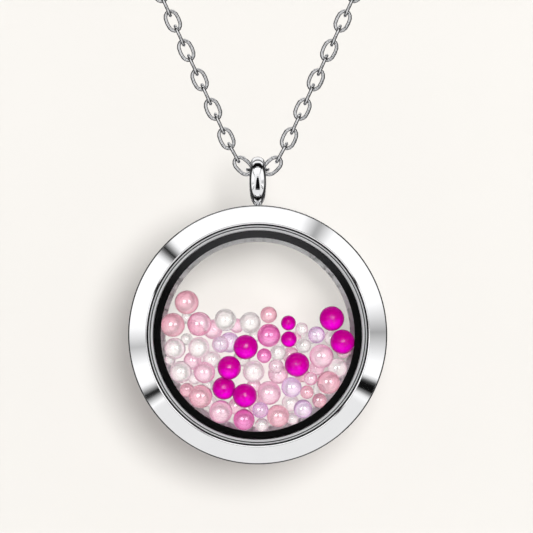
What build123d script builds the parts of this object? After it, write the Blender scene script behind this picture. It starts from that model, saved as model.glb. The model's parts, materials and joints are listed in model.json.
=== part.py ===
from build123d import *
import os
from collections import namedtuple
from itertools import combinations
from math import asin, cos, degrees, pi, radians, sin, sqrt, tan

# Frame: X to the wearer's left, Y to the back, Z up, in millimetres.
# The origin is where the clasp's inner face lies on the nape, at the top of the loop.

# The locket's outside
locket_diameter = 30.0
locket_thickness = 7.6
front_half_depth = 1.9
edge_chamfer = 0.14

# The bezel: a polished cone that rises to its inner edge
bezel_slope = 18.0
bezel_chamfer = 0.15

# The screwed fit of the front half on the rear half, its walls from the rim inwards,
# with a plain spigot for the thread
outer_skirt_wall = 1.05
spigot_wall = 0.65
inner_skirt_wall = 0.37
spigot_height = 1.15
spigot_clearance = 0.05
seam_gap = 0.05
front_skirt_height = 0.8

# The grooved steel ring that holds the front glass, a dark gap inside the bezel
crystal_ring_gap = 0.17
crystal_ring_width = 0.52
crystal_ring_recess = 0.3
crystal_ring_step = 0.3
crystal_ring_height = 1.1
crystal_ring_clearance = 0.03
groove_inset = 0.15
groove_width = 0.12
groove_depth = 0.12

# The two glass panes
glass_thickness = 0.8
glass_recess = 0.5
glass_clearance = 0.04

# The black seal between the front glass and the rear half
seal_width = 0.85
seal_clearance = 0.05

# The rear half: its cavity is a little wider than the seal's bore
cavity_setback = 0.21
back_lip_width = 0.65
back_lip = 0.6

# The bail, a domed oval ring soldered on the rim
bail_rise = 4.15
bail_width = 2.0
bail_wall = 0.5
bail_dome = 0.2
bail_inner_dome = 0.17
bail_solder_depth = 0.15
bail_top_width = 1.3
bail_foot_width = 0.8
bail_rear_width = 1.95
swing_clearance = 0.12
hang_offset = 0.29

# The cable chain
link_wire = 0.42
link_width = 1.8
link_pitch = 1.88
link_gap = 0.14
chain_length = 508.0

# The chain's route: each leg's headings in degrees above level, from the bail outwards.
# The last one runs on to where the leg joins the round stretch behind the neck.
leg_headings = [43.0, 61.0, 65.5]

# The clasp at the nape, one plain piece with an eye let into each end
clasp_body_length = 10.0
clasp_width = 4.4
clasp_thickness = 2.0
clasp_slot_length = 5.6
clasp_slot_width = 1.6
clasp_eye_diameter = 2.8
clasp_eye_bore = 1.5
clasp_eye_thickness = 1.0
clasp_eye_inlet = 0.8
clasp_chamfer = 0.4
clasp_gap = 0.1

# The loose beads
bead_diameter = 2.85
bead_gap = 0.11
settle_rounds = 500
settle_sideways = 0.35
settle_least = 1e-6

# Beads that show best, each a node of its own.
# across and up are shares of the cavity's radius from its centre, depth runs from -1 at the
# front glass to 1 at the back glass, and size is a share of bead_diameter.
Bead = namedtuple("Bead", "colour across up depth size")
main_beads = [
    Bead("rose", -0.720, 0.325, -0.5, 0.99),
    Bead("rose", -0.853, 0.100, 0.6, 0.99),
    Bead("blush", -0.577, 0.097, -0.8, 1.00),
    Bead("blush", -0.463, 0.048, 0.9, 0.81),
    Bead("clear", -0.330, 0.146, -0.5, 0.91),
    Bead("clear", -0.090, 0.105, 0.5, 0.88),
    Bead("magenta", -0.128, -0.128, -0.9, 1.02),
    Bead("pearl", -0.841, -0.143, -0.3, 0.88),
    Bead("pearl", -0.601, -0.143, -0.1, 0.88),
    Bead("pearl", -0.378, -0.099, -0.9, 0.70),
    Bead("lilac", -0.279, -0.052, 0.9, 0.84),
    Bead("magenta", -0.293, -0.350, -0.9, 0.98),
    Bead("pearl", -0.767, -0.370, 0.1, 0.91),
    Bead("blush", -0.541, -0.383, -0.9, 0.89),
    Bead("magenta", -0.357, -0.554, 0.5, 0.96),
    Bead("magenta", -0.131, -0.627, -0.7, 1.00),
    Bead("rose", -0.581, -0.627, -0.6, 0.98),
    Bead("blush", -0.364, -0.780, 0.4, 0.96),
    Bead("pink", -0.141, -0.858, -0.3, 0.88),
    Bead("pearl", -0.043, -0.386, 0.2, 0.91),
    Bead("rose", 0.110, 0.194, -0.2, 0.69),
    Bead("pink", 0.121, -0.019, -0.6, 0.96),
    Bead("magenta", 0.315, 0.112, -0.6, 0.62),
    Bead("magenta", 0.312, -0.044, -0.9, 0.66),
    Bead("lilac", 0.592, -0.008, -0.4, 0.70),
    Bead("magenta", 0.755, 0.155, -0.4, 1.02),
    Bead("magenta", 0.854, -0.079, -0.6, 1.02),
    Bead("magenta", 0.411, -0.295, -0.9, 1.02),
    Bead("blush", 0.652, -0.213, -0.6, 1.00),
    Bead("pearl", 0.817, -0.321, 0.8, 0.81),
    Bead("rose", 0.700, -0.486, -0.5, 0.96),
    Bead("rose", 0.638, -0.679, -0.6, 0.60),
    Bead("lilac", 0.459, -0.754, -0.7, 0.77),
    Bead("rose", 0.222, -0.827, 0.2, 0.93),
    Bead("blush", 0.122, -0.591, 0.5, 0.98),
    Bead("lilac", 0.344, -0.547, -0.2, 0.84),
    Bead("pink", 0.071, -0.220, -0.9, 0.61),
    Bead("clear", 0.220, -0.185, 0.2, 0.67),
    Bead("blush", 0.574, -0.354, 0.9, 0.63),
    Bead("lilac", 0.026, -0.761, -0.8, 0.67),
]

# Small beads and those behind the others, together in one node for each colour.
fill_beads = [
    Bead("rose", -0.706, -0.547, 0.8, 0.60),
    Bead("rose", 0.515, -0.549, -0.8, 0.56),
    Bead("rose", -0.640, 0.040, 0.9, 0.55),
    Bead("rose", 0.480, -0.400, 0.9, 0.62),
    Bead("pearl", 0.045, -0.916, 0.2, 0.56),
    Bead("pearl", 0.446, 0.056, -0.3, 0.53),
    Bead("pearl", -0.480, -0.260, 0.9, 0.75),
    Bead("pearl", -0.655, -0.463, 0.9, 0.55),
    Bead("pearl", -0.477, -0.690, 0.9, 0.50),
    Bead("pearl", 0.232, -0.079, 0.9, 0.50),
    Bead("pearl", -0.890, -0.258, 0.8, 0.45),
    Bead("pearl", 0.350, -0.905, 0.4, 0.50),
    Bead("pearl", 0.330, -0.700, 0.9, 0.72),
    Bead("pearl", -0.160, -0.240, 0.9, 0.72),
    Bead("pearl", 0.760, -0.040, 0.9, 0.66),
    Bead("clear", 0.190, -0.307, -0.7, 0.63),
    Bead("clear", 0.460, -0.135, -0.2, 0.63),
    Bead("clear", -0.030, -0.017, 0.9, 0.50),
    Bead("clear", -0.710, -0.035, 0.9, 0.50),
    Bead("clear", 0.490, -0.035, 0.9, 0.60),
    Bead("clear", -0.727, 0.160, 0.9, 0.50),
    Bead("clear", 0.640, -0.560, 0.9, 0.66),
    Bead("clear", -0.480, -0.520, 0.9, 0.50),
    Bead("blush", 0.411, -0.044, 0.9, 0.60),
    Bead("blush", 0.515, -0.465, -0.9, 0.56),
    Bead("blush", 0.200, -0.420, 0.9, 0.84),
    Bead("blush", -0.040, -0.515, 0.9, 0.60),
    Bead("blush", -0.204, 0.069, 0.9, 0.60),
    Bead("blush", -0.660, -0.270, 0.9, 0.75),
    Bead("blush", -0.020, -0.700, 0.9, 0.70),
    Bead("blush", -0.220, -0.740, 0.9, 0.74),
    Bead("blush", 0.330, -0.230, 0.9, 0.70),
    Bead("blush", 0.860, -0.200, 0.7, 0.60),
]

# The locket's radii from the rim inwards, and its depths along Y from its middle plane
rim_radius = locket_diameter / 2
spigot_radius = rim_radius - outer_skirt_wall - spigot_clearance
spigot_inner_radius = spigot_radius - spigot_wall
bezel_inner_radius = spigot_inner_radius - spigot_clearance - inner_skirt_wall
crystal_ring_radius = bezel_inner_radius - crystal_ring_gap
crystal_bore_radius = crystal_ring_radius - crystal_ring_width
seal_outer_radius = crystal_bore_radius - seal_clearance
seal_bore_radius = seal_outer_radius - seal_width
cavity_radius = seal_bore_radius + cavity_setback
back_opening_radius = cavity_radius - back_lip_width
front_y = -locket_thickness / 2
back_y = locket_thickness / 2
parting_y = front_y + front_half_depth
lip_y = back_y - back_lip
glass_front_y = front_y + glass_recess
glass_back_y = glass_front_y + glass_thickness
cavity_back_y = lip_y - glass_thickness

# The links, and the bail round the one that it hangs on
link_length = link_pitch + link_gap + 2 * link_wire
edge_on_step = link_length - link_wire
face_on_step = 2 * link_pitch - edge_on_step
link_overhang = (link_length - face_on_step) / 2
bail_hole_radius = link_width / 2 + swing_clearance
bail_outer_radius = bail_hole_radius + bail_wall
bail_drop = bail_rise + bail_solder_depth - bail_outer_radius

# The loop: bent headings by the bail, straight legs, then one arc round the neck
leg_heading = leg_headings[-1]
arc_sweep = radians(360 - 2 * leg_heading)
Link = namedtuple("Link", "x z heading edge_on step")


def leg_links(pairs):
    """The right leg's links from the bail's neighbour up, with x and z from the bail's own link.

    The wires of two links cross inside the face-on one, on its long axis, so a face-on link
    takes a short step along the route and an edge-on link takes a long one.
    """
    links = []
    x = edge_on_step / 2
    z = 0.0
    for number in range(2 * pairs + 1):
        heading = leg_headings[min(number, len(leg_headings) - 1)]
        edge_on = number % 2 == 1
        step = edge_on_step if edge_on else face_on_step
        step_x = step * cos(radians(heading))
        step_z = step * sin(radians(heading))
        links.append(Link(x + step_x / 2, z + step_z / 2, heading, edge_on, step))
        x += step_x
        z += step_z
    return links


def loop_radius(links):
    """The radius of the arc that joins two legs of these links."""
    half_width = edge_on_step / 2 + sum(link.step * cos(radians(link.heading)) for link in links)
    return half_width / sin(radians(leg_heading))


def loop_length(links):
    """The whole loop's length with two legs of these links."""
    return edge_on_step + 2 * sum(link.step for link in links) + loop_radius(links) * arc_sweep


length_per_pair = loop_length(leg_links(2)) - loop_length(leg_links(1))
leg_pairs = 1 + round((chain_length - loop_length(leg_links(1))) / length_per_pair)
right_leg = leg_links(leg_pairs)
neck_radius = loop_radius(right_leg)
leg_rise = sum(link.step * sin(radians(link.heading)) for link in right_leg)

# Heights: the clasp's inner face is at 0, and its ends lie on the arc round the neck
clasp_z = clasp_thickness / 2
clasp_reach = clasp_body_length / 2 - clasp_eye_inlet + clasp_eye_diameter
clasp_angle = asin((clasp_reach + clasp_gap) / neck_radius)
loop_centre_z = clasp_z - neck_radius * cos(clasp_angle)
bail_z = loop_centre_z - neck_radius * cos(radians(leg_heading)) - leg_rise
locket_z = bail_z - bail_rise - rim_radius
locket_place = Location((0, -hang_offset, locket_z))


def turned(corners):
    """A ring or disc turned about the locket's axis, from its section's (radius, depth) corners."""
    section = make_face(Polyline(*corners, close=True))
    return revolve(section, Axis.Y)


def front_frame():
    """The screwed front half: the sloping bezel, its outer skirt and the inner skirt round the glass."""
    crest_radius = bezel_inner_radius + bezel_chamfer
    edge_radius = rim_radius - edge_chamfer
    edge_y = front_y + (edge_radius - crest_radius) * tan(radians(bezel_slope))
    skirt_back_y = parting_y - seam_gap
    groove_y = parting_y - spigot_height - seam_gap
    inner_skirt_y = groove_y + front_skirt_height
    return turned([
        (bezel_inner_radius, inner_skirt_y),
        (bezel_inner_radius, front_y + bezel_chamfer),
        (crest_radius, front_y),
        (edge_radius, edge_y),
        (rim_radius, edge_y + edge_chamfer),
        (rim_radius, skirt_back_y),
        (spigot_radius + spigot_clearance, skirt_back_y),
        (spigot_radius + spigot_clearance, groove_y),
        (spigot_inner_radius - spigot_clearance, groove_y),
        (spigot_inner_radius - spigot_clearance, inner_skirt_y),
    ])


def crystal_ring():
    """The steel ring round the front glass, stepped to leave a dark gap, with one fine groove."""
    ring_front_y = front_y + crystal_ring_recess
    step_y = ring_front_y + crystal_ring_step
    ring_back_y = ring_front_y + crystal_ring_height
    seat_radius = bezel_inner_radius - crystal_ring_clearance
    groove_outside = crystal_ring_radius - groove_inset
    groove_inside = groove_outside - groove_width
    return turned([
        (crystal_bore_radius, ring_back_y),
        (crystal_bore_radius, ring_front_y),
        (groove_inside, ring_front_y),
        (groove_inside, ring_front_y + groove_depth),
        (groove_outside, ring_front_y + groove_depth),
        (groove_outside, ring_front_y),
        (crystal_ring_radius, ring_front_y),
        (crystal_ring_radius, step_y),
        (seat_radius, step_y),
        (seat_radius, ring_back_y),
    ])


def pane(radius, near_y, far_y):
    """A flat round glass between two depths."""
    return turned([(0, near_y), (radius, near_y), (radius, far_y), (0, far_y)])


def seal_ring():
    """The black seal, seen through the front glass as a dark ring."""
    near_y = glass_back_y + seal_clearance
    far_y = parting_y - seal_clearance
    return turned([
        (seal_bore_radius, near_y),
        (seal_outer_radius, near_y),
        (seal_outer_radius, far_y),
        (seal_bore_radius, far_y),
    ])


def rear_half():
    """The rear half without its bail: the cavity's wall, the lip behind the back glass, the spigot."""
    return turned([
        (back_opening_radius, back_y),
        (back_opening_radius, lip_y),
        (cavity_radius, lip_y),
        (cavity_radius, parting_y),
        (spigot_inner_radius, parting_y),
        (spigot_inner_radius, parting_y - spigot_height),
        (spigot_radius, parting_y - spigot_height),
        (spigot_radius, parting_y),
        (rim_radius, parting_y),
        (rim_radius, back_y - edge_chamfer),
        (rim_radius - edge_chamfer, back_y),
    ])


def domed_section(width, middle, edge):
    """Half a band's section across X, from its axis out to an arc that is middle high, edge at the sides."""
    sides = Polyline((-width / 2, edge), (-width / 2, 0), (width / 2, 0), (width / 2, edge))
    crown = ThreePointArc((width / 2, edge), (0, middle), (-width / 2, edge))
    return make_face(sides + crown)


def oval_body(width, middle, edge):
    """A closed oval that hangs from the X axis: a half turn above, straight sides, a half turn below."""
    half_section = domed_section(width, middle, edge)
    other_half = mirror(half_section, Plane.XZ)
    top = revolve(half_section, Axis.X, 180)
    low = Pos(0, 0, -bail_drop) * revolve(other_half, Axis.X, 180)
    sides = extrude(half_section, bail_drop, dir=(0, 0, -1)) + extrude(other_half, bail_drop, dir=(0, 0, -1))
    return top + sides + low


def bail_outlines():
    """What the bail keeps of its band: a leaf-shaped front leg and a straight rear leg, one top for both."""
    top_z = bail_outer_radius
    foot_z = -bail_drop - bail_outer_radius
    waist_z = (top_z + foot_z) / 2
    half_top = bail_top_width / 2
    half_foot = bail_foot_width / 2
    half_rear = bail_rear_width / 2
    right_leaf = ThreePointArc((half_foot, foot_z), (bail_width / 2, waist_z), (half_top, top_z))
    left_leaf = ThreePointArc((-half_top, top_z), (-bail_width / 2, waist_z), (-half_foot, foot_z))
    top_edge = Line((half_top, top_z), (-half_top, top_z))
    foot_edge = Line((-half_foot, foot_z), (half_foot, foot_z))
    leaf = make_face(right_leaf + top_edge + left_leaf + foot_edge)
    straight = make_face(Polyline(
        (-half_rear, foot_z),
        (half_rear, foot_z),
        (half_rear, 0),
        (half_top, top_z),
        (-half_top, top_z),
        (-half_rear, 0),
        close=True,
    ))
    front_leg = extrude(Plane.XZ * leaf, bail_outer_radius)
    rear_leg = extrude(Plane.XZ * straight, -bail_outer_radius)
    return front_leg + rear_leg


def bail():
    """The soldered bail round the chain's lowest link, with that link's middle at the origin."""
    outside = oval_body(bail_width, bail_outer_radius, bail_outer_radius - bail_dome)
    hole = oval_body(bail_width, bail_hole_radius, bail_hole_radius + bail_inner_dome)
    return (outside & bail_outlines()) - hole


def base_frame():
    """The rear half with its bail soldered on, one piece of steel."""
    bail_lift = locket_place.inverse() * Location((0, 0, bail_z))
    return rear_half() + bail_lift * bail()


def chain_link():
    """One oval link of round wire, long along X, flat in the XY plane."""
    half_straight = (link_length - link_width) / 2
    bend_radius = (link_width - link_wire) / 2
    wire = Circle(link_wire / 2)
    section = Plane.YZ * Pos(bend_radius, 0) * wire
    rod = Pos(-half_straight, 0, 0) * extrude(section, 2 * half_straight)
    bend = Pos(half_straight, 0, 0) * revolve(section, Axis.Z, -180)
    half = rod + bend
    return half + half.rotate(Axis.Z, 180)


def placed_link(solid, x, z, heading, edge_on):
    """A link at x, z from the bail's own, turned to its heading and seen edge on or face on."""
    along = (cos(radians(heading)), 0, sin(radians(heading)))
    edge_on_normal = (-sin(radians(heading)), 0, cos(radians(heading)))
    face_on_normal = (0, -1, 0)
    normal = edge_on_normal if edge_on else face_on_normal
    return Plane(origin=(x, 0, bail_z + z), x_dir=along, z_dir=normal).location * solid


def chain_front():
    """The real links of both legs with the one that carries the bail, each turned a quarter to the next."""
    solid = chain_link()
    links = [placed_link(solid, 0, 0, 0, True)]
    for link in right_leg:
        links.append(placed_link(solid, link.x, link.z, link.heading, link.edge_on))
        links.append(placed_link(solid, -link.x, link.z, -link.heading, link.edge_on))
    return Compound(children=links)


def chain_back():
    """The two stretches behind the neck, from the last link of each leg to the clasp."""
    start = pi - radians(leg_heading) - (link_overhang + clasp_gap) / neck_radius
    sweep_degrees = degrees(start - clasp_angle)
    section = Plane.YZ * Pos(0, neck_radius) * Circle(link_width / 2)
    stretch = revolve(section, Axis.Y, sweep_degrees).rotate(Axis.Y, degrees(clasp_angle))
    right = Pos(0, 0, loop_centre_z) * stretch
    return Compound(children=[right, mirror(right, Plane.YZ)])


def clasp():
    """The closed clasp at the nape: a plain slotted oval with an eye for the chain at each end."""
    body = extrude(SlotOverall(clasp_body_length, clasp_width), clasp_thickness / 2, both=True)
    levels = body.edges().group_by(Axis.Z)
    body = chamfer(levels[0] + levels[-1], clasp_chamfer)
    body -= extrude(SlotOverall(clasp_slot_length, clasp_slot_width), clasp_thickness, both=True)
    eye = Cylinder(clasp_eye_diameter / 2, clasp_eye_thickness)
    eye_hole = Cylinder(clasp_eye_bore / 2, clasp_thickness)
    eye_x = clasp_reach - clasp_eye_diameter / 2
    for side in (-eye_x, eye_x):
        body += Pos(side, 0, 0) * eye
        body -= Pos(side, 0, 0) * eye_hole
    return Pos(0, 0, clasp_z) * body


def charted(row):
    """A bead's place and radius as charted: [x, y, z, radius] from the locket's centre."""
    radius = row.size * bead_diameter / 2
    middle_y = (glass_back_y + cavity_back_y) / 2
    room = (cavity_back_y - glass_back_y) / 2 - radius - bead_gap
    return [row.across * cavity_radius, middle_y + row.depth * room, row.up * cavity_radius, radius]


def push_apart(one, other):
    """Move two beads that are too near away from each other, more in depth than sideways."""
    apart = [b - a for a, b in zip(one[:3], other[:3])]
    distance = max(sqrt(sum(step * step for step in apart)), settle_least)
    short = one[3] + other[3] + bead_gap - distance
    if short <= 0:
        return
    for axis, freedom in enumerate((settle_sideways, 1.0, settle_sideways)):
        step = apart[axis] / distance * short / 2 * freedom
        one[axis] -= step
        other[axis] += step


def keep_inside(bead):
    """Move a bead back between the two glasses and inside the cavity's wall."""
    x, y, z, radius = bead
    reach = cavity_radius - radius - bead_gap
    out = sqrt(x * x + z * z)
    if out > reach:
        bead[0] = x * reach / out
        bead[2] = z * reach / out
    near = glass_back_y + radius + bead_gap
    far = cavity_back_y - radius - bead_gap
    bead[1] = min(max(y, near), far)


def settled(rows):
    """Every bead's place and radius once all are clear of each other and of the walls."""
    beads = [charted(row) for row in rows]
    for _ in range(settle_rounds):
        for one, other in combinations(beads, 2):
            push_apart(one, other)
        for bead in beads:
            keep_inside(bead)
    return beads


def bead_solid(place):
    """One bead at its place in the locket."""
    x, y, z, radius = place
    return locket_place * Pos(x, y, z) * Sphere(radius)


def bead_parts():
    """The main beads by their own names, and the others together by colour."""
    places = settled(main_beads + fill_beads)
    parts = {}
    for number, (row, place) in enumerate(zip(main_beads, places), start=1):
        parts[f"bead_{number:02d}_{row.colour}"] = bead_solid(place)
    groups = {}
    for row, place in zip(fill_beads, places[len(main_beads):]):
        groups.setdefault(f"bead_fill_{row.colour}", []).append(bead_solid(place))
    for name, solids in groups.items():
        parts[name] = Compound(children=solids)
    return parts


def all_parts():
    """Every part of the necklace by name, in its place."""
    back_radius = cavity_radius - glass_clearance
    front_radius = crystal_bore_radius - glass_clearance
    parts = {
        "base_frame": locket_place * base_frame(),
        "back_glass": locket_place * pane(back_radius, cavity_back_y, lip_y),
        "front_frame": locket_place * front_frame(),
        "crystal_ring": locket_place * crystal_ring(),
        "front_glass": locket_place * pane(front_radius, glass_front_y, glass_back_y),
        "seal_ring": locket_place * seal_ring(),
        "chain_front": chain_front(),
        "chain_back": chain_back(),
        "clasp": clasp(),
    }
    parts.update(bead_parts())
    return parts


os.makedirs("parts", exist_ok=True)
for part_name, shape in all_parts().items():
    export_step(shape, f"parts/{part_name}.step")
print("loop length", round(loop_length(right_leg), 2), "neck radius", round(neck_radius, 2))
print("links in the legs", 1 + 2 * len(right_leg))
print("bail middle z", round(bail_z, 3), "locket middle z", round(locket_z, 3))
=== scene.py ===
"""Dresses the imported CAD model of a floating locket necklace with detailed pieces, finishes and light."""

import json
import logging
import math
import random
from collections.abc import Callable, Iterator, Sequence
from dataclasses import dataclass, field
from enum import Enum

import bmesh
import bpy
from bpy.types import Material, Node, NodeSocket, NodeTree, Object
from mathutils import Matrix, Vector


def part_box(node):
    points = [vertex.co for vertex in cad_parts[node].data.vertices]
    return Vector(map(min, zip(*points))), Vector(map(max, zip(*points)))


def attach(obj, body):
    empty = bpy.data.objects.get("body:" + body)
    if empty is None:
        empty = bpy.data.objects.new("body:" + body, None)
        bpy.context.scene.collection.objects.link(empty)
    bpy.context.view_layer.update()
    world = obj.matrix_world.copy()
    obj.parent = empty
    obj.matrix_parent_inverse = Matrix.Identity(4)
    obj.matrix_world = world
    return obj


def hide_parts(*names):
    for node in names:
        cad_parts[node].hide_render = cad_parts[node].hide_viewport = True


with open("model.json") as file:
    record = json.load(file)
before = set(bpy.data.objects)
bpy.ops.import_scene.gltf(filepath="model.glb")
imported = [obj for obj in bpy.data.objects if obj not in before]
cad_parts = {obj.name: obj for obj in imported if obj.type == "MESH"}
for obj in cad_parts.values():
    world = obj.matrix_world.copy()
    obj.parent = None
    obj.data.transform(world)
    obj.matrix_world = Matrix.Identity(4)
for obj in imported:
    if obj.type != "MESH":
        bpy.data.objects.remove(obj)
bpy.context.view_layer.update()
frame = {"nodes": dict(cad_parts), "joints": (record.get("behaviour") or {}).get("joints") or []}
LOG = logging.getLogger("necklace")
MM = 0.001
# Points closer than the first are merged, those within the second lie on a middle line, and a share
# that is closer to 1 than the third resizes nothing.
MERGE_DISTANCE = 0.0004 * MM
MIDDLE_BAND = 0.001 * MM
LEAST_RESIZE = 1e-9
NEARLY_LEVEL = 0.9
ORIGIN = Vector((0, 0, 0))
UPRIGHT = (math.pi / 2, 0, 0)
PICTURE_MIDDLE = (1.02, -213.06)  # x and z in millimetres
Pair = tuple[float, float]
Triple = tuple[float, float, float]
Colour = Triple
PaneSize = tuple[str, float, float, float]


# ---- how meshes are made, in millimetres


class Smooth(float, Enum):
    """The largest turn in degrees between two faces that still looks smooth."""

    CRISP = 15.0
    PLAIN = 35.0
    SWEPT = 60.0
    ROUND = 80.0


class Kind(Enum):
    """What is picked in edit mode, with the name of its list in the mesh."""

    VERT = "verts"
    EDGE = "edges"
    FACE = "faces"


def clear_selection() -> None:
    """Leave edit mode and select nothing."""
    if bpy.context.object is not None and bpy.context.object.mode != "OBJECT":
        bpy.ops.object.mode_set(mode="OBJECT")
    bpy.ops.object.select_all(action="DESELECT")


def taken(pieces: Sequence[Object]) -> Object:
    """Select these pieces alone.

    Args:
        pieces: The pieces.

    Returns:
        The first of them, made active.
    """
    clear_selection()
    for piece in pieces:
        piece.select_set(True)
    bpy.context.view_layer.objects.active = pieces[0]
    return pieces[0]


def started(name: str) -> Object:
    """Name the primitive that was just added and open it in edit mode, all selected.

    Args:
        name: The piece's plain name.

    Returns:
        The new object, in edit mode.
    """
    piece = bpy.context.object
    piece.name = piece.data.name = name
    bpy.ops.object.transform_apply(location=True, rotation=True, scale=True)
    bpy.ops.object.mode_set(mode="EDIT")
    bpy.ops.mesh.select_all(action="SELECT")
    return piece


def circle(
    name: str,
    vertices: int,
    radius: float,
    place: Vector = ORIGIN,
    turn: Triple = (0, 0, 0),
    fill: str = "NOTHING",
) -> Object:
    """Add a circle and open it in edit mode, all selected.

    Args:
        name: The piece's plain name.
        vertices: How many vertices go round.
        radius: Its radius in millimetres.
        place: Its middle in metres.
        turn: Its turns about X, Y and Z in radians.
        fill: What fills it, in the operator's word.

    Returns:
        The new object, in edit mode.
    """
    clear_selection()
    bpy.ops.mesh.primitive_circle_add(
        vertices=vertices, radius=radius * MM, fill_type=fill, location=place, rotation=turn
    )
    return started(name)


def pick(piece: Object, kind: Kind, test: Callable[[object], bool]) -> None:
    """Select the vertices, edges or faces that pass a test.

    Args:
        piece: The object in edit mode.
        kind: What is picked.
        test: Says of a mesh element whether it is wanted.
    """
    mesh = bmesh.from_edit_mesh(piece.data)
    bpy.ops.mesh.select_mode(type=kind.name)
    for element in getattr(mesh, kind.value):
        element.select = test(element)
    mesh.select_flush_mode()
    bmesh.update_edit_mesh(piece.data)


def drawn_out(piece: Object, shift: float) -> None:
    """Draw a round shape out along X, its two halves moved apart.

    Args:
        piece: The object in edit mode.
        shift: How far each half moves, in millimetres.
    """
    for side in (1, -1):
        pick(piece, Kind.VERT, lambda vertex, side=side: side * vertex.co.x > MIDDLE_BAND)
        bpy.ops.transform.translate(value=(side * shift * MM, 0, 0))


def closed(piece: Object, smooth: Smooth = Smooth.PLAIN) -> Object:
    """Merge doubles, turn the faces outwards, leave edit mode and smooth by angle.

    Args:
        piece: The object in edit mode.
        smooth: How far its faces may turn and still look smooth.

    Returns:
        The same object.
    """
    bpy.ops.mesh.select_all(action="SELECT")
    bpy.ops.mesh.remove_doubles(threshold=MERGE_DISTANCE)
    bpy.ops.mesh.normals_make_consistent(inside=False)
    bpy.ops.object.mode_set(mode="OBJECT")
    bpy.ops.object.shade_smooth_by_angle(angle=math.radians(smooth))
    return piece


def eased(piece: Object, width: float, segments: int = 2, angle: float = 18.0) -> Object:
    """Round every edge that turns by more than an angle.

    Args:
        piece: The finished object.
        width: The rounding's width in millimetres.
        segments: How many faces the rounding has.
        angle: The least turn in degrees that is rounded.

    Returns:
        The same object.
    """
    rounding = taken([piece]).modifiers.new("eased_edges", "BEVEL")
    rounding.width = width * MM
    rounding.segments = segments
    rounding.limit_method = "ANGLE"
    rounding.angle_limit = math.radians(angle)
    rounding.harden_normals = True
    bpy.ops.object.modifier_apply(modifier=rounding.name)
    return piece


def turned(name: str, corners: Sequence[Pair], centre: Vector, segments: int) -> Object:
    """Turn a closed section about an axis along Y: one circle, extruded and resized to each corner.

    Args:
        name: The piece's plain name.
        corners: The section's corners as (radius, depth along Y) in millimetres.
        centre: The axis point that the depths start from, in metres.
        segments: How many faces go round.

    Returns:
        The turned ring, at the world's origin with its place in its mesh.
    """
    radius, depth = corners[0]
    piece = circle(name, segments, radius, centre + Vector((0, depth * MM, 0)), UPRIGHT)
    for (radius, depth), (next_radius, next_depth) in zip(corners, [*corners[1:], corners[0]]):
        share = next_radius / radius
        bpy.ops.mesh.extrude_edges_move(TRANSFORM_OT_translate={"value": (0, (next_depth - depth) * MM, 0)})
        if abs(share - 1) > LEAST_RESIZE:
            bpy.ops.transform.resize(value=(share, 1, share), center_override=centre)
    return closed(piece, Smooth.CRISP)


def placed_copy(piece: Object, name: str, place: Matrix) -> Object:
    """Copy a piece with its own mesh and move the mesh to a place.

    Args:
        piece: The piece to copy.
        name: The copy's name.
        place: Where the copy's mesh goes.

    Returns:
        The copy.
    """
    copy = bpy.data.objects.new(name, piece.data.copy())
    copy.data.name = name
    copy.data.transform(place)
    bpy.context.scene.collection.objects.link(copy)
    return copy


def joined(pieces: Sequence[Object], name: str) -> Object:
    """Join pieces into one object.

    Args:
        pieces: The pieces, of which the first takes in the others.
        name: The joined piece's name.

    Returns:
        The joined object.
    """
    piece = taken(pieces)
    bpy.ops.object.join()
    piece.name = piece.data.name = name
    return piece


# ---- the finishes


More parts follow.
